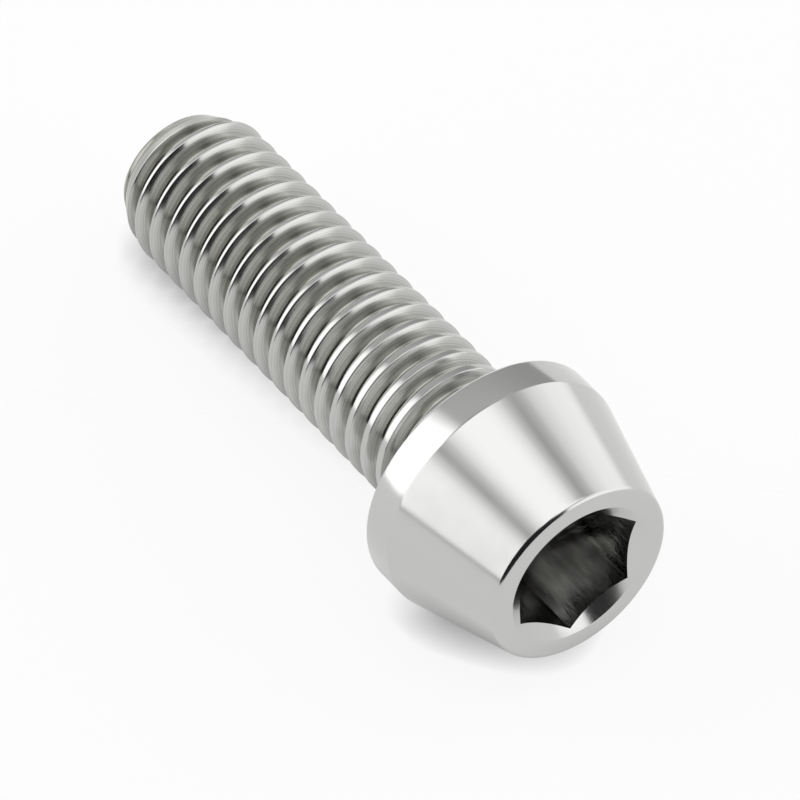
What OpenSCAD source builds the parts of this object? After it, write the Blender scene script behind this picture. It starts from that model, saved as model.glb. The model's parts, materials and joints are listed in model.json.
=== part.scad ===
// Tapered socket head cap screw, lying on its side as it comes to rest.
// Lengths are in millimetres. The head points along +X and the screw rests on z = 0.
// Each module draws its form upright: the bearing face is at z = 0, the head above it and the shank below.

/* [Head] */
// Diameter of the straight band round the head
head_d = 12.9; // [12:0.1:16]
// Height of the head from its bearing face to its socket end
head_h = 7.8; // [7.5:0.05:12]
// Height of the straight band above the bearing face
band_h = 1.75; // [0.5:0.05:3]
// Diameter of the socket end before its edge is rounded
nose_d = 9.6; // [9:0.05:11.5]
// Radius of the rounded edge at the socket end
nose_fillet = 0.3; // [0.1:0.05:0.5]
// Radius of the rounded edge round the bearing face
edge_fillet = 0.15; // [0.05:0.05:0.4]

/* [Socket] */
// Width of the hex socket across its flats
hex_af = 6.1; // [4.5:0.05:6.2]
// Depth of the hex flats below the socket end
hex_depth = 4.6; // [3:0.1:5]
// Diameter of the countersink at the socket's mouth
mouth_d = 7.6; // [7.3:0.05:8.2]
// Included angle of the countersink
mouth_angle = 120; // [90:5:130]
// Included angle of the drill point under the hex
drill_angle = 120; // [110:2:140]
// Turn of the hex about the screw's axis
hex_turn = -10.5; // [-30:0.5:30]

/* [Shank] */
// Length of the shank from the bearing face to the tip
shank_l = 25; // [16:1:40]
// Length of the plain neck under the head
neck_l = 1.25; // [0.8:0.05:3]
// How far the neck stands out from the thread crests
neck_step = 0.05; // [0.02:0.01:0.3]
// Radius of the fillet between the neck and the bearing face
neck_fillet = 0.4; // [0.2:0.05:0.6]
// Diameter of the flat at the tip
tip_d = 6.2; // [5:0.1:6.6]
// Length of the lead-in chamfer at the tip, down from the thread crests
tip_chamfer_l = 1.7; // [0.5:0.1:2]

/* [Thread] */
// Diameter over the thread crests
thread_d = 7.9; // [7.4:0.05:8.4]
// Distance from one crest to the next
thread_pitch = 1.25; // [0.8:0.05:1.5]
// Angle between a flank and the plane across the axis
flank_angle = 30; // [27.5:0.5:30]
// Width of the flat crests next to the head, where the thread is rolled less deep
crest_head = 0.38; // [0.2:0.02:0.6]
// Share of the shank, up from the tip, that has the full depth of thread
full_share = 0.5; // [0.2:0.05:0.8]
// Turn of the whole thread about the screw's axis
thread_turn = 122.5; // [0:2.5:357.5]
// Straight sides in one turn of the thread
thread_sides = 36; // [24:4:48]

/* [Hidden] */

// Fineness of the round surfaces and of the small edge arcs
$fn = 96;

head_r = head_d / 2;
nose_r = nose_d / 2;
crest_r = thread_d / 2;
neck_r = crest_r + neck_step;
tip_r = tip_d / 2;

// Slope of the tapered side, and the middle of the arc that rounds its upper edge
taper = atan((head_r - nose_r) / (head_h - band_h));
nose_arc_r = nose_r - nose_fillet * tan(45 - taper / 2);
nose_arc_z = head_h - nose_fillet;

// Full thread: a flat crest of an eighth of the pitch, and a root arc tangent to both flanks
crest_flat = thread_pitch / 8;
root_r = thread_pitch * sqrt(3) / 12;

// The crests widen from the full thread up to the neck
widening_l = shank_l * (1 - full_share) - neck_l;
function crest_width(height) =
    crest_flat + (crest_head - crest_flat) * max(0, 1 + (height + neck_l) / widening_l);

// One groove of the thread at a height, from its upper edge, as [distance down the axis, depth below the crest]
function groove_section(height) =
    let (
        groove = thread_pitch - crest_width(height),
        flank_run = groove / 2 - root_r * cos(flank_angle),
        flank_depth = flank_run / tan(flank_angle)
    )
    [
        [0, 0],
        [flank_run, flank_depth],
        [groove / 2, flank_depth + root_r * (1 - sin(flank_angle))],
        [groove - flank_run, flank_depth],
        [groove, 0],
    ];

// The helix starts inside the head and runs out past the tip, where it is cut to length
cut_clearance = 1;
helix_top = 0.5;
turns = ceil((helix_top + shank_l + cut_clearance) / thread_pitch) + 1;

// Lying at rest, the screw touches at the rounded edge of its bearing face and at the last full crest
rest_run = edge_fillet + shank_l - tip_chamfer_l;
rest_rise = head_r - edge_fillet - crest_r;
rest_tilt = atan(rest_rise / rest_run) + asin(edge_fillet / norm([rest_run, rest_rise]));
rest_z = (head_r - edge_fillet) * cos(rest_tilt) - edge_fillet * sin(rest_tilt) + edge_fillet;
nose_reach = nose_arc_z * cos(rest_tilt) + nose_arc_r * sin(rest_tilt) + nose_fillet;
tip_reach = shank_l * cos(rest_tilt) + tip_r * sin(rest_tilt);

// Half section of the head with its rounded edges, and of the neck with its fillet
module head_section() {
    difference() {
        union() {
            polygon([
                [0, -neck_l],
                [neck_r, -neck_l],
                [neck_r, 0],
                [head_r - edge_fillet, 0],
                [head_r, edge_fillet],
                [head_r, band_h],
                [nose_arc_r + nose_fillet * cos(taper), nose_arc_z + nose_fillet * sin(taper)],
                [nose_arc_r, head_h],
                [0, head_h],
            ]);
            translate([nose_arc_r, nose_arc_z]) circle(nose_fillet);
            translate([head_r - edge_fillet, edge_fillet]) circle(edge_fillet);
            translate([neck_r, -neck_fillet]) square(neck_fillet);
        }
        translate([neck_r + neck_fillet, -neck_fillet]) circle(neck_fillet);
    }
}

// Hex socket: countersunk mouth, flats, and the drill point below them
module socket() {
    hex_corner_r = hex_af / 2 / cos(30);
    mouth_depth = mouth_d / 2 / tan(mouth_angle / 2);
    drill_r = hex_af / 2;
    translate([0, 0, head_h - hex_depth]) {
        rotate(hex_turn) cylinder(r = hex_corner_r, h = hex_depth + cut_clearance, $fn = 6);
        rotate_extrude() polygon([[0, 0], [drill_r, 0], [0, -drill_r / tan(drill_angle / 2)]]);
    }
    translate([0, 0, head_h])
        rotate_extrude() polygon([[0, -mouth_depth], [mouth_d / 2, 0], [0, 0]]);
}

// Helical thread with its core, as one closed skin of rows that climb around the axis
module thread() {
    per_turn = len(groove_section(0));
    last = turns * per_turn - 1;
    points = [
        for (row = [0:last], side = [0:thread_sides - 1])
            let (
                groove_top = helix_top + thread_pitch * (side / thread_sides - floor(row / per_turn)),
                place = groove_section(groove_top)[row % per_turn],
                angle = side / thread_sides * 360,
                r = crest_r - place[1]
            )
            [r * cos(angle), r * sin(angle), groove_top - place[0]],
        [0, 0, helix_top],
        [0, 0, helix_top - turns * thread_pitch],
    ];
    top_point = len(points) - 2;
    end_point = len(points) - 1;
    function at(row, side) =
        side < thread_sides ? row * thread_sides + side : (row - per_turn) * thread_sides;
    skin = [
        for (row = [0:last - 1], side = [0:thread_sides - 1])
            if (side < thread_sides - 1 || row >= per_turn)
                each [
                    [at(row, side), at(row, side + 1), at(row + 1, side)],
                    [at(row, side + 1), at(row + 1, side + 1), at(row + 1, side)],
                ],
    ];
    top_rim = [
        for (side = [0:thread_sides - 1]) at(0, side),
        for (row = [1:per_turn]) at(row, thread_sides - 1),
    ];
    end_rim = [
        for (side = [thread_sides - 1:-1:0]) at(last, side),
        for (row = [last - 1:-1:last - per_turn]) at(row, 0),
    ];
    function fan(rim, tip) = [for (i = [0:len(rim) - 1]) [rim[i], tip, rim[(i + 1) % len(rim)]]];
    polyhedron(points, concat(skin, fan(top_rim, top_point), fan(end_rim, end_point)));
}

// What is turned away at the tip: everything past the end and outside the chamfer
module tip_cut() {
    slope = (crest_r - tip_r) / tip_chamfer_l;
    outer_r = crest_r + slope * cut_clearance;
    chamfer_top = -shank_l + tip_chamfer_l + cut_clearance;
    past_end = helix_top - (turns + 1) * thread_pitch;
    rotate_extrude()
        polygon([
            [0, -shank_l],
            [tip_r, -shank_l],
            [outer_r, chamfer_top],
            [outer_r + cut_clearance, chamfer_top],
            [outer_r + cut_clearance, past_end],
            [0, past_end],
        ]);
}

// The whole screw, laid on its side
module cap_screw() {
    color("silver")
        translate([(tip_reach - nose_reach) / 2, 0, rest_z])
            rotate([0, 90 - rest_tilt, 0])
                difference() {
                    union() {
                        rotate_extrude() head_section();
                        difference() {
                            rotate(thread_turn) thread();
                            tip_cut();
                        }
                    }
                    socket();
                }
}

cap_screw();
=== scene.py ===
# A tapered socket head cap screw of stainless steel, lying on a pale floor in a small photo studio.
# The screw is drawn upright in millimetres, with its bearing face at height 0.
# It is then laid in the frame, which is in metres.
import json
from math import atan, ceil, cos, pi, radians, sin, sqrt, tan

import bmesh
import bpy
from mathutils import Matrix, Vector


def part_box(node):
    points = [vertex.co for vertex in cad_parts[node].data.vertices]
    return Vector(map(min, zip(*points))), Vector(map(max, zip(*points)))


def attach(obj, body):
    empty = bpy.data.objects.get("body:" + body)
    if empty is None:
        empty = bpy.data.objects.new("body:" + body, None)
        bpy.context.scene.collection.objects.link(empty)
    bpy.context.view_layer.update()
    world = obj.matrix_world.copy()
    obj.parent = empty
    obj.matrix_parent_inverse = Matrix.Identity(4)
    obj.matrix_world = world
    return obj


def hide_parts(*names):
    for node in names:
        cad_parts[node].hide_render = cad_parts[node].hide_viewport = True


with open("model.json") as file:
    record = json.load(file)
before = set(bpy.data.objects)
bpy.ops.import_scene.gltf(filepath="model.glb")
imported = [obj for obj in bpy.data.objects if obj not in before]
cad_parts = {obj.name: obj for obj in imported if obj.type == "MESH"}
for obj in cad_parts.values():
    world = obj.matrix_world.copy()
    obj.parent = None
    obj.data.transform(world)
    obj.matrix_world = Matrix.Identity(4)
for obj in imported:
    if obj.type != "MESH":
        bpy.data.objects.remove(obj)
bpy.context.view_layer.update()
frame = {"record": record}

MM = 0.001

# The screw's place and main sizes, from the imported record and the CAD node's box
mounts = {mount["name"]: mount for mount in frame["record"]["mounts"]}
axis = Vector(mounts["hex_socket"]["axis"]).normalized()
socket_end = Vector(mounts["hex_socket"]["pos_m"])
head_h = (socket_end - Vector(mounts["bearing_face"]["pos_m"])).dot(axis) / MM
bearing_centre = socket_end - axis * head_h * MM
thread_middle = (bearing_centre - Vector(mounts["thread"]["pos_m"])).dot(axis) / MM
thread_l = mounts["thread"]["dims"]["length_mm"]
crest_r = mounts["thread"]["dims"]["r_mm"]
neck_r = mounts["shank"]["dims"]["r_mm"]
neck_l = thread_middle - thread_l / 2
shank_l = thread_middle + thread_l / 2
node_low, node_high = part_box("cap_screw")
head_r = (node_high.y - node_low.y) / 2 / MM

# Head. BAND_EDGE is how far the corner between the band and the taper is softened
BAND_H = 1.75
BAND_EDGE = 0.06
NOSE_R = 4.8
NOSE_FILLET = 0.3
EDGE_FILLET = 0.15

# Socket. The drill point stays a little inside the hex flats
HEX_AF = 6.1
HEX_DEPTH = 4.6
HEX_TURN = radians(-10.5)
MOUTH_R = 3.8
MOUTH_SLOPE = tan(radians(30))
MOUTH_EDGE = 0.03
DRILL_R = 2.98
DRILL_SLOPE = tan(radians(30))

# Shank
NECK_FILLET = 0.4
TIP_R = 3.1
TIP_CHAMFER_L = 1.7
TIP_EDGE = 0.05

# Thread. RUN_OUT is the length over which it fades out at the neck.
# FIRST_EDGE is the height of a crest's lower edge at angle 0
PITCH = 1.25
FLANK_ANGLE = radians(30)
CREST_FLAT = PITCH / 8
CREST_HEAD = 0.38
FULL_SHARE = 0.5
CREST_EDGE = 0.035
ROOT_R = PITCH * sqrt(3) / 12
RUN_OUT = 0.8
FIRST_EDGE = 0.075

# Fineness: columns round the axis, one of them on each hex corner, and points in a rounded edge
COLUMNS = 216
FILLET_STEPS = 6
CORNER_STEPS = 3
ROOT_STEPS = 3
SMALLEST_GAP = 0.005
WELD = 0.001
SHARP = radians(25)

# Tool marks in the finishes: rings from turning, lines from rolling and streaks from broaching.
# Real ones are finer and would not show, so they are drawn this coarse.
RING_W = 0.12
LINE_W = 0.1
STREAK_W = 0.9
STREAK_L = 4

# Patches where the turned steel is more or less glossy
PATCH_W = 2.5

# Studio round the screw
WALL_R = 600
WALL_H = 857
WALL_STEPS = 16
PANEL_GAP = 10
FLOOR_HALF = 3000

# Where one wall of the studio ends and the next begins, in degrees from +X towards +Y
FULL_TURN = 360
DARK_TO_LEFT = -93
LEFT_TO_BACK = -122
BACK_TO_CORNER = -155
CORNER_TO_GREY = -170
GREY_TO_RIGHT = -243
RIGHT_TO_DARK = 16
TIP_BOX = (140, 195)
TIP_BOX_H = 190

# Where one sheet of the roof ends and the next begins along X, and where the two front sheets start along Y
GREY_TO_TOP_X = -330
TOP_TO_FRONT_X = 100
FRONT_TO_FAR_X = 300
FRONT_Y = -300
FAR_Y = 0

# Glow of the cloths, where 1 is white paper
BRIGHT = 1.63
LEFT = (BRIGHT, 1.67)
RIGHT = (1.45, BRIGHT)
TOP = 1.65
BACK = (2.1, 1.9)
CORNER = 0.6
GREY_WALL = 0.57
GREY_ROOF = 0.42
DARK = 0.021

# Share of the floor that glows plain white to the eye and in reflections, and how far the painted contact
# shadow in that glow reaches
FLOOR_WHITE = 0.88
FLOOR_MIRRORED = 0.7
CONTACT = 2.1
CONTACT_MIRRORED = 5

# Derived sizes
taper = atan((head_r - NOSE_R) / (head_h - BAND_H))
full_run = (PITCH - CREST_FLAT) / 2 - ROOT_R * cos(FLANK_ANGLE)
full_depth = full_run / tan(FLANK_ANGLE) + ROOT_R * (1 - sin(FLANK_ANGLE))
widening_l = shank_l * (1 - FULL_SHARE) - neck_l
chamfer_slope = (crest_r - TIP_R) / TIP_CHAMFER_L
thread_top = -neck_l
thread_end = TIP_EDGE - shank_l

# How the upright screw is turned and moved to lie in the frame
across = Vector((0, 1, 0))
lie = Matrix.Translation(bearing_centre) @ Matrix((across.cross(axis), across, axis)).transposed().to_4x4()

# The mesh's material slots
TURNED, ROLLED, BROACHED = range(3)

points = []
faces = []
finishes = []


def column_angle(column):
    return HEX_TURN + 2 * pi * column / COLUMNS


def add_point(radius, height, column):
    angle = column_angle(column)
    points.append(Vector((radius * cos(angle), radius * sin(angle), height)) * MM)
    return len(points) - 1


def add_face(corners, finish):
    kept = [corner for at, corner in enumerate(corners) if corner != corners[at - 1]]
    if len(kept) > 2:
        faces.append(kept)
        finishes.append(finish)


def add_ring(place):
    """A ring of points. place gives (radius, height) for an angle."""
    return [add_point(*place(column_angle(column)), column) for column in range(COLUMNS)]


def bridge(first, second, finish):
    for column in range(COLUMNS):
        after = (column + 1) % COLUMNS
        add_face([first[column], first[after], second[after], second[column]], finish)


def close_ring(ring, height, finish):
    """Fills a ring with a cone or a disc that has its middle at that height."""
    points.append(Vector((0, 0, height)) * MM)
    middle = len(points) - 1
    for column in range(COLUMNS):
        add_face([ring[column], ring[(column + 1) % COLUMNS], middle], finish)


def fillet(centre_r, centre_z, radius, start, end):
    """Points of a rounded edge in the half section, from one angle to another."""
    turns = [start + (end - start) * step / FILLET_STEPS for step in range(FILLET_STEPS + 1)]
    return [(centre_r + radius * cos(turn), centre_z + radius * sin(turn)) for turn in turns]


def soften(before, corner, after, reach):
    """Points that break a sharp corner of a half section, over that reach along both of its sides."""
    start = corner + (before - corner).normalized() * reach
    end = corner + (after - corner).normalized() * reach
    ways = [step / CORNER_STEPS for step in range(CORNER_STEPS + 1)]
    return [start * (1 - way) ** 2 + corner * 2 * way * (1 - way) + end * way ** 2 for way in ways]


def head_section():
    """Half section from the neck's end, round the outside of the head, to the rim of the socket's mouth."""
    nose_arc_r = NOSE_R - NOSE_FILLET * tan(pi / 4 - taper / 2)
    nose_arc_z = head_h - NOSE_FILLET
    cone_top = Vector((nose_arc_r + NOSE_FILLET * cos(taper), nose_arc_z + NOSE_FILLET * sin(taper)))
    band_top = Vector((head_r, BAND_H))
    rim = Vector((MOUTH_R, head_h))
    return [
        (crest_r, thread_top),
        (neck_r, thread_top + neck_r - crest_r),
        *fillet(neck_r + NECK_FILLET, -NECK_FILLET, NECK_FILLET, pi, pi / 2),
        *fillet(head_r - EDGE_FILLET, EDGE_FILLET, EDGE_FILLET, -pi / 2, 0),
        *soften(Vector((head_r, EDGE_FILLET)), band_top, cone_top, BAND_EDGE),
        *fillet(nose_arc_r, nose_arc_z, NOSE_FILLET, taper, pi / 2),
        *soften(Vector((nose_arc_r, head_h)), rim, rim - Vector((1, MOUTH_SLOPE)), MOUTH_EDGE),
    ]


def hex_radius(angle):
    """Distance from the axis to the hex flats at an angle."""
    past_corner = (angle - HEX_TURN) % (pi / 3)
    return HEX_AF / 2 / cos(past_corner - pi / 6)


def hex_edge(angle):
    """Where the countersunk mouth meets the hex flats."""
    radius = hex_radius(angle)
    return radius, head_h - (MOUTH_R - radius) * MOUTH_SLOPE


def chamfer_radius(height):
    return TIP_R + (height + shank_l) * chamfer_slope


def crest_corner(height, side):
    """Where a flank meets the crest, or the tip's chamfer once that cuts the crest back.
    side is 1 above the crest, -1 below."""
    flank_slope = 1 / tan(FLANK_ANGLE)
    cut = crest_r - chamfer_radius(height)
    along = max(0, min(cut / (flank_slope + side * chamfer_slope), full_run))
    return Vector((crest_r - along * flank_slope, height + side * along))


def crest_width(height):
    """Width of the flat crests. They widen from the full thread up to the neck."""
    return CREST_FLAT + (CREST_HEAD - CREST_FLAT) * max(0, 1 + (height + neck_l) / widening_l)


def half_groove(edge, groove, side):
    """Points from the bottom of a groove to the flank at one of its edges.
    side is 1 above that edge, -1 below."""
    flank_run = groove / 2 - ROOT_R * cos(FLANK_ANGLE)
    bottom_r = crest_r - flank_run / tan(FLANK_ANGLE) - ROOT_R * (1 - sin(FLANK_ANGLE))
    turns = [(pi / 2 - FLANK_ANGLE) * step / ROOT_STEPS for step in range(ROOT_STEPS + 1)]
    return [
        Vector((bottom_r + ROOT_R * (1 - cos(turn)), edge + side * (groove / 2 - ROOT_R * sin(turn))))
        for turn in turns
    ]


def ridge_section(edge):
    """One ridge of the thread, from the groove above it down to the groove below it.
    edge is the lower edge of its crest."""
    groove_above = PITCH - crest_width(edge + PITCH)
    upper_edge = edge + PITCH - groove_above
    above = half_groove(upper_edge, groove_above, 1)
    below = half_groove(edge, PITCH - crest_width(edge), -1)
    upper = crest_corner(upper_edge, 1)
    lower = crest_corner(edge, -1)
    return [
        *above,
        (above[-1] + upper) / 2,
        *soften(above[-1], upper, lower, CREST_EDGE),
        *soften(upper, lower, below[-1], CREST_EDGE),
        (below[-1] + lower) / 2,
        *below[:0:-1],
    ]


def formed(radius, height):
    """A point of the thread's section, faded out at the neck and cut back to the chamfer at the tip."""
    way = max(0, min(1, (thread_top - height) / RUN_OUT))
    depth = (crest_r - radius) * way * way * (3 - 2 * way)
    return min(crest_r - depth, chamfer_radius(height)), height


def thread_skin(top, end):
    """The thread between the neck's ring and the tip's ring.
    Its rows climb round the axis and stop at either ring."""
    ridges = range(-1, ceil(shank_l / PITCH) + 3)
    per_ridge = len(ridge_section(0))
    grid = []
    for column in range(COLUMNS):
        climbed = PITCH * column_angle(column) / (2 * pi)
        rows = []
        for ridge in ridges:
            for radius, height in ridge_section(FIRST_EDGE + climbed - PITCH * ridge):
                if height > thread_top - SMALLEST_GAP:
                    rows.append(top[column])
                elif height < thread_end + SMALLEST_GAP:
                    rows.append(end[column])
                else:
                    rows.append(add_point(*formed(radius, height), column))
        grid.append(rows)
    grid.append([top[0]] * per_ridge + grid[0][:-per_ridge])
    for here, after in zip(grid, grid[1:]):
        for row in range(len(here) - 1):
            add_face([here[row], here[row + 1], after[row + 1], after[row]], ROLLED)


def make_screw():
    outside = [add_ring(lambda angle, place=place: place) for place in head_section()]
    for first, second in zip(outside, outside[1:]):
        bridge(first, second, TURNED)
    mouth = add_ring(hex_edge)
    bridge(outside[-1], mouth, TURNED)

    hex_end = add_ring(lambda angle: (hex_radius(angle), head_h - HEX_DEPTH))
    drill_rim = add_ring(lambda angle: (DRILL_R, head_h - HEX_DEPTH))
    bridge(mouth, hex_end, BROACHED)
    bridge(hex_end, drill_rim, BROACHED)
    close_ring(drill_rim, head_h - HEX_DEPTH - DRILL_R * DRILL_SLOPE, BROACHED)

    tip_rim = add_ring(lambda angle: (chamfer_radius(thread_end), thread_end))
    tip_flat = add_ring(lambda angle: (TIP_R - TIP_EDGE, -shank_l))
    thread_skin(outside[0], tip_rim)
    bridge(tip_rim, tip_flat, TURNED)
    close_ring(tip_flat, -shank_l, TURNED)

    mesh = bpy.data.meshes.new("cap_screw_body")
    mesh.from_pydata(points, [], faces)
    mesh.polygons.foreach_set("material_index", finishes)
    tidy = bmesh.new()
    tidy.from_mesh(mesh)
    bmesh.ops.remove_doubles(tidy, verts=tidy.verts, dist=WELD * MM)
    bmesh.ops.recalc_face_normals(tidy, faces=tidy.faces)
    tidy.to_mesh(mesh)
    tidy.free()
    mesh.shade_smooth()
    mesh.set_sharp_from_angle(angle=SHARP)

    mesh.transform(lie)
    screw = bpy.data.objects.new("cap_screw_body", mesh)
    bpy.context.scene.collection.objects.link(screw)
    even = screw.modifiers.new("even_normals", "WEIGHTED_NORMAL")
    even.keep_sharp = True
    return screw


def linear(colour):
    """An sRGB hex colour as linear RGBA."""
    channels = [int(colour[at:at + 2], 16) / 255 for at in (1, 3, 5)]
    return [c / 12.92 if c <= 0.04045 else ((c + 0.055) / 1.055) ** 2.4 for c in channels] + [1]


def add_node(tree, kind, inputs=None, **settings):
    """Adds a node with its settings.
    inputs maps a socket's name or number to a value, or to the output that feeds it."""
    made = tree.nodes.new(kind)
    for name, value in settings.items():
        setattr(made, name, value)
    for socket, value in (inputs or {}).items():
        if isinstance(value, bpy.types.NodeSocket):
            tree.links.new(value, made.inputs[socket])
        else:
            made.inputs[socket].default_value = value
    return made


def new_material(name):
    material = bpy.data.materials.new(name)
    material.use_nodes = True
    material.node_tree.nodes.clear()
    return material, material.node_tree


def upright_place(tree):
    """Place on the upright screw, in metres."""
    seen = add_node(tree, "ShaderNodeTexCoord").outputs["Object"]
    return add_node(
        tree,
        "ShaderNodeMapping",
        {"Vector": seen, "Location": lie.to_translation(), "Rotation": lie.to_euler()},
        vector_type="TEXTURE",
    ).outputs[0]


def height_and_radius(tree):
    """Height along the axis of the upright screw and distance from that axis, in metres."""
    parts = add_node(tree, "ShaderNodeSeparateXYZ", {0: upright_place(tree)}).outputs
    flat = add_node(tree, "ShaderNodeCombineXYZ", {"X": parts["X"], "Y": parts["Y"]}).outputs[0]
    radius = add_node(tree, "ShaderNodeVectorMath", {0: flat}, operation="LENGTH").outputs["Value"]
    return parts["Z"], radius


def turned_stainless():
    """Stainless steel, fine turned on a lathe: a bright, slightly soft mirror with faint rings."""
    material, tree = new_material("turned_stainless")
    height, radius = height_and_radius(tree)
    section = add_node(tree, "ShaderNodeCombineXYZ", {"X": radius, "Y": height}).outputs[0]
    rings = add_node(
        tree,
        "ShaderNodeTexNoise",
        {"Vector": section, "Scale": 1 / (RING_W * MM), "Detail": 1.0},
        noise_dimensions="2D",
    ).outputs[0]
    bump = add_node(
        tree, "ShaderNodeBump", {"Height": rings, "Strength": 0.05, "Distance": 0.004 * MM}
    ).outputs[0]
    patches = add_node(
        tree,
        "ShaderNodeTexNoise",
        {"Vector": upright_place(tree), "Scale": 1 / (PATCH_W * MM), "Detail": 3.0},
    ).outputs[0]
    rough = add_node(
        tree,
        "ShaderNodeMapRange",
        {"Value": patches, "From Min": 0.3, "From Max": 0.7, "To Min": 0.12, "To Max": 0.18},
    ).outputs[0]
    steel = add_node(
        tree,
        "ShaderNodeBsdfPrincipled",
        {"Base Color": linear("#C5C5C4"), "Metallic": 1.0, "Roughness": rough, "Normal": bump},
    )
    add_node(tree, "ShaderNodeOutputMaterial", {"Surface": steel.outputs[0]})
    return material


def rolled_stainless():
    """Stainless steel, thread rolled: satin crests, and flanks with fine lines along the thread.
    The colour is darker towards the bottom of the grooves: painted shade for the dim light deep in them."""
    material, tree = new_material("rolled_stainless")
    radius = height_and_radius(tree)[1]
    per_line = add_node(
        tree, "ShaderNodeMath", {0: radius, 1: 1 / (LINE_W * MM)}, operation="MULTIPLY"
    ).outputs[0]
    lines = add_node(
        tree, "ShaderNodeTexNoise", {"W": per_line, "Scale": 1.0, "Detail": 1.0}, noise_dimensions="1D"
    ).outputs[0]
    bump = add_node(
        tree, "ShaderNodeBump", {"Height": lines, "Strength": 0.13, "Distance": 0.01 * MM}
    ).outputs[0]
    # Painted shade: the colour darkens from the crests towards the bottom of the grooves
    painted_groove_shade = add_node(
        tree,
        "ShaderNodeMapRange",
        {
            "Value": radius,
            "From Min": (crest_r - full_depth) * MM,
            "From Max": crest_r * MM,
            "To Min": -0.45,
            "To Max": 0.55,
        },
    ).outputs[0]
    shade = add_node(
        tree, "ShaderNodeMath", {0: lines, 1: 0.9, 2: painted_groove_shade}, operation="MULTIPLY_ADD"
    ).outputs[0]
    # The colour mixes the rolling lines with the painted shade deep in the grooves
    colour = add_node(
        tree,
        "ShaderNodeMix",
        {"Factor": shade, "A": linear("#94948E"), "B": linear("#C2C2C0")},
        data_type="RGBA",
    ).outputs["Result"]
    seen = add_node(tree, "ShaderNodeTexCoord").outputs["Object"]
    outward = add_node(
        tree, "ShaderNodeVectorMath", {0: seen, 1: bearing_centre}, operation="SUBTRACT"
    ).outputs[0]
    along = add_node(
        tree, "ShaderNodeVectorMath", {0: axis, 1: outward}, operation="CROSS_PRODUCT"
    ).outputs[0]
    steel = add_node(
        tree,
        "ShaderNodeBsdfPrincipled",
        {
            "Base Color": colour,
            "Metallic": 1.0,
            "Roughness": 0.18,
            "Anisotropic": 0.5,
            "Anisotropic Rotation": 0.25,
            "Tangent": along,
            "Normal": bump,
        },
    )
    add_node(tree, "ShaderNodeOutputMaterial", {"Surface": steel.outputs[0]})
    return material


def broached_stainless():
    """Stainless steel, broached: the tool leaves dark and light streaks down the flats."""
    material, tree = new_material("broached_stainless")
    per_streak = 1 / (STREAK_W * MM)
    drawn = add_node(
        tree,
        "ShaderNodeMapping",
        {"Vector": upright_place(tree), "Scale": (per_streak, per_streak, 1 / (STREAK_L * MM))},
    ).outputs[0]
    streaks = add_node(
        tree, "ShaderNodeTexNoise", {"Vector": drawn, "Scale": 1.0, "Detail": 3.0}
    ).outputs[0]
    bump = add_node(
        tree, "ShaderNodeBump", {"Height": streaks, "Strength": 0.6, "Distance": 0.1 * MM}
    ).outputs[0]
    shade = add_node(
        tree, "ShaderNodeMapRange", {"Value": streaks, "From Min": 0.35, "From Max": 0.65}
    ).outputs[0]
    colour = add_node(
        tree,
        "ShaderNodeMix",
        {"Factor": shade, "A": linear("#7E7E7C"), "B": linear("#CFCFCD")},
        data_type="RGBA",
    ).outputs["Result"]
    steel = add_node(
        tree,
        "ShaderNodeBsdfPrincipled",
        {"Base Color": colour, "Metallic": 1.0, "Roughness": 0.16, "Normal": bump},
    )
    add_node(tree, "ShaderNodeOutputMaterial", {"Surface": steel.outputs[0]})
    return material


def add_sheet(name, rows, material):
    """A stage piece from rows of points in millimetres.
    Its UV map runs from 0 to 1 along and up the rows."""
    count = len(rows[0])
    sheet = bpy.data.meshes.new(name)
    squares = [
        (row * count + at, row * count + at + 1, (row + 1) * count + at + 1, (row + 1) * count + at)
        for row in range(len(rows) - 1)
        for at in range(count - 1)
    ]
    sheet.from_pydata([Vector(place) * MM for row in rows for place in row], [], squares)
    ways = sheet.uv_layers.new(name="ways")
    for loop in sheet.loops:
        row, at = divmod(loop.vertex_index, count)
        ways.data[loop.index].uv = (at / (count - 1), row / (len(rows) - 1))
    sheet.materials.append(material)
    placed = bpy.data.objects.new(name, sheet)
    bpy.context.scene.collection.objects.link(placed)
    return placed


def add_wall(name, start, end, material, radius=WALL_R, height=WALL_H):
    """An upright curved wall of the studio between two bearings, in degrees from +X towards +Y."""
    bearings = [radians(start + (end - start) * step / WALL_STEPS) for step in range(WALL_STEPS + 1)]
    foot = [(radius * cos(bearing), radius * sin(bearing), 0) for bearing in bearings]
    return add_sheet(name, [foot, [(x, y, height) for x, y, _ in foot]], material)


def add_roof(name, low_x, high_x, low_y, high_y, material):
    """A level sheet of the studio on top of the walls."""
    return add_sheet(name, [[(x, y, WALL_H) for x in (low_x, high_x)] for y in (low_y, high_y)], material)


def glowing_cloth(name, start, end, upward=None):
    """Diffuser cloth of a soft box. Its glow goes from start to end along the sheet.
    upward lists (place, share): how much of that glow is left at places up the sheet."""
    material, tree = new_material(name)
    place = add_node(tree, "ShaderNodeTexCoord").outputs["UV"]
    parts = add_node(tree, "ShaderNodeSeparateXYZ", {0: place}).outputs
    glow = add_node(
        tree, "ShaderNodeMapRange", {"Value": parts["X"], "To Min": start, "To Max": end}
    ).outputs[0]
    if upward:
        shares = add_node(tree, "ShaderNodeValToRGB", {"Fac": parts["Y"]})
        ramp = shares.color_ramp
        ramp.interpolation = "EASE"
        while len(ramp.elements) < len(upward):
            ramp.elements.new(1)
        for stop, (where, share) in zip(ramp.elements, upward):
            stop.position = where
            stop.color = (share, share, share, 1)
        glow = add_node(
            tree, "ShaderNodeMath", {0: glow, 1: shares.outputs["Color"]}, operation="MULTIPLY"
        ).outputs[0]
    light = add_node(tree, "ShaderNodeEmission", {"Color": linear("#FFFFFF"), "Strength": glow})
    add_node(tree, "ShaderNodeOutputMaterial", {"Surface": light.outputs[0]})
    return material


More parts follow.
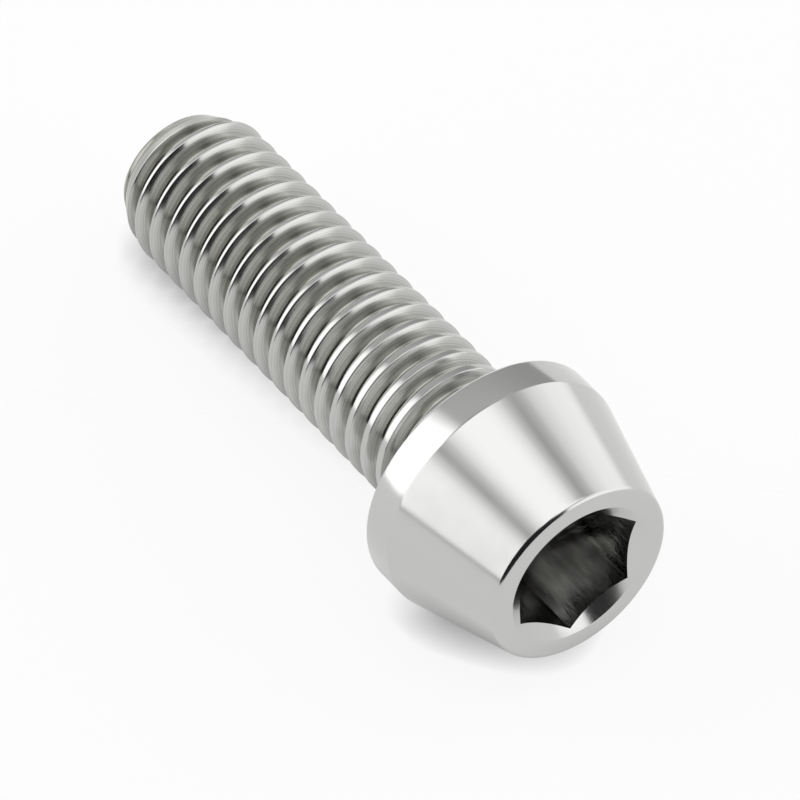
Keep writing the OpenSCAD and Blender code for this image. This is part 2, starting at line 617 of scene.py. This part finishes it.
def pale_floor():
    """Matt white card that also glows white to the eye and in reflections. The glow is painted darker close
    to what lies on it, a painted contact shadow, while the card's lit share keeps its real shadow.
    In reflections the painted shadow reaches further and the card's real shadow has a larger share."""
    material, tree = new_material("pale_floor")
    path = add_node(tree, "ShaderNodeLightPath").outputs
    straight = add_node(
        tree,
        "ShaderNodeMath",
        {0: path["Is Camera Ray"], 1: path["Is Transmission Ray"]},
        operation="MAXIMUM",
    ).outputs[0]
    seen = add_node(tree, "ShaderNodeMath", {0: straight, 1: FLOOR_WHITE}, operation="MULTIPLY").outputs[0]
    mirrored = add_node(
        tree, "ShaderNodeMath", {0: path["Is Glossy Ray"], 1: FLOOR_MIRRORED}, operation="MULTIPLY"
    ).outputs[0]
    share = add_node(tree, "ShaderNodeMath", {0: seen, 1: mirrored}, operation="MAXIMUM").outputs[0]
    card = add_node(tree, "ShaderNodeBsdfDiffuse", {"Color": linear("#FAFAF9")}).outputs[0]
    reach = add_node(
        tree,
        "ShaderNodeMapRange",
        {"Value": path["Is Glossy Ray"], "To Min": CONTACT * MM, "To Max": CONTACT_MIRRORED * MM},
    ).outputs[0]
    # Painted contact shadow: the white glow darkens where the floor is close to the screw, further in
    # reflections
    painted_contact_shadow = add_node(tree, "ShaderNodeAmbientOcclusion", {"Distance": reach}).outputs["Color"]
    white = add_node(tree, "ShaderNodeEmission", {"Color": painted_contact_shadow, "Strength": 1.0}).outputs[0]
    mixed = add_node(tree, "ShaderNodeMixShader", {0: share, 1: card, 2: white})
    add_node(tree, "ShaderNodeOutputMaterial", {"Surface": mixed.outputs[0]})
    return material


screw = make_screw()
for material in (turned_stainless(), rolled_stainless(), broached_stainless()):
    screw.data.materials.append(material)
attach(screw, "root")
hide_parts("cap_screw")

add_sheet(
    "floor",
    [[(x, y, 0) for x in (-FLOOR_HALF, FLOOR_HALF)] for y in (-FLOOR_HALF, FLOOR_HALF)],
    pale_floor(),
)

# Studio: a tent of soft boxes above and on both sides, grey past the tip, and a dark room behind the camera
left_fade = [(0.0, 0.3), (0.025, 0.35), (0.05, 1.0), (0.5, 1.0), (0.64, 0.92), (0.8, 0.64), (1.0, 0.31)]
right_foot = [(0.0, 0.84), (0.04, 0.88), (0.08, 1.0)]
right_fade = right_foot + [(0.31, 0.97), (0.42, 0.88), (0.57, 0.77), (0.75, 0.5), (1.0, 0.34)]
half_top = [(0.0, 0.3), (0.12, 0.5), (0.23, 0.8), (0.31, 0.94), (0.38, 1.0)]
top_fade = half_top + [(1 - place, share) for place, share in reversed(half_top)]
grey_rise = [(0.0, 0.8), (1.0, 1.2)]

dark = glowing_cloth("dark_room", DARK, DARK)
bright = glowing_cloth("bright_cloth", BRIGHT, BRIGHT)
left = glowing_cloth("left_cloth", *LEFT, left_fade)
back = glowing_cloth("left_back_cloth", *BACK)
corner = glowing_cloth("back_cloth", BACK[1], CORNER)
grey_wall = glowing_cloth("grey_cloth", GREY_WALL, GREY_WALL, grey_rise)
right = glowing_cloth("right_cloth", *RIGHT, right_fade)
top = glowing_cloth("top_cloth", TOP, TOP, top_fade)
grey_roof = glowing_cloth("grey_roof_cloth", GREY_ROOF, GREY_ROOF)
tent = [
    add_wall("left_soft_box", DARK_TO_LEFT, LEFT_TO_BACK, left),
    add_wall("left_back_soft_box", LEFT_TO_BACK, BACK_TO_CORNER, back),
    add_wall("back_corner", BACK_TO_CORNER, CORNER_TO_GREY, corner),
    add_wall("grey_wall", CORNER_TO_GREY, GREY_TO_RIGHT, grey_wall),
    add_wall("tip_soft_box", *TIP_BOX, bright, WALL_R - PANEL_GAP, TIP_BOX_H),
    add_wall("right_soft_box", GREY_TO_RIGHT + FULL_TURN, RIGHT_TO_DARK, right),
    add_wall("dark_front", RIGHT_TO_DARK, DARK_TO_LEFT, dark),
    add_roof("grey_roof", -WALL_R, GREY_TO_TOP_X, -WALL_R, WALL_R, grey_roof),
    add_roof("top_soft_box", GREY_TO_TOP_X, TOP_TO_FRONT_X, -WALL_R, WALL_R, top),
    add_roof("front_soft_box", TOP_TO_FRONT_X, FRONT_TO_FAR_X, FRONT_Y, WALL_R, bright),
    add_roof("far_soft_box", FRONT_TO_FAR_X, WALL_R, FAR_Y, WALL_R, bright),
    add_sheet(
        "dark_top",
        [[(x, y, WALL_H + PANEL_GAP) for x in (-WALL_R, WALL_R)] for y in (-WALL_R, WALL_R)],
        dark,
    ),
]
for panel in tent:
    panel.visible_camera = False

scene = bpy.context.scene
world = bpy.data.worlds.new("white_paper")
world.use_nodes = True
world.node_tree.nodes["Background"].inputs["Color"].default_value = linear("#FFFFFF")
world.node_tree.nodes["Background"].inputs["Strength"].default_value = 1.0
scene.world = world
scene.view_settings.view_transform = "Standard"

# Camera: a long lens from above the head's end, aimed where the photograph is centred
CAMERA_AIM = Vector((4.13, -1.44, 8.444)) * MM
CAMERA_DISTANCE = 312.9 * MM
CAMERA_TURN = radians(54.577)
CAMERA_RISE = radians(52.899)
CAMERA_LENS = 306
CAMERA_SENSOR = 36
CAMERA_NEAR = 10 * MM

camera = bpy.data.cameras.new("camera")
camera.lens = CAMERA_LENS
camera.sensor_width = CAMERA_SENSOR
camera.clip_start = CAMERA_NEAR
viewer = bpy.data.objects.new("camera", camera)
scene.collection.objects.link(viewer)
level = cos(CAMERA_RISE)
away = Vector((sin(CAMERA_TURN) * level, -cos(CAMERA_TURN) * level, sin(CAMERA_RISE)))
viewer.location = CAMERA_AIM + away * CAMERA_DISTANCE
viewer.rotation_euler = (pi / 2 - CAMERA_RISE, 0, CAMERA_TURN)
scene.camera = viewer
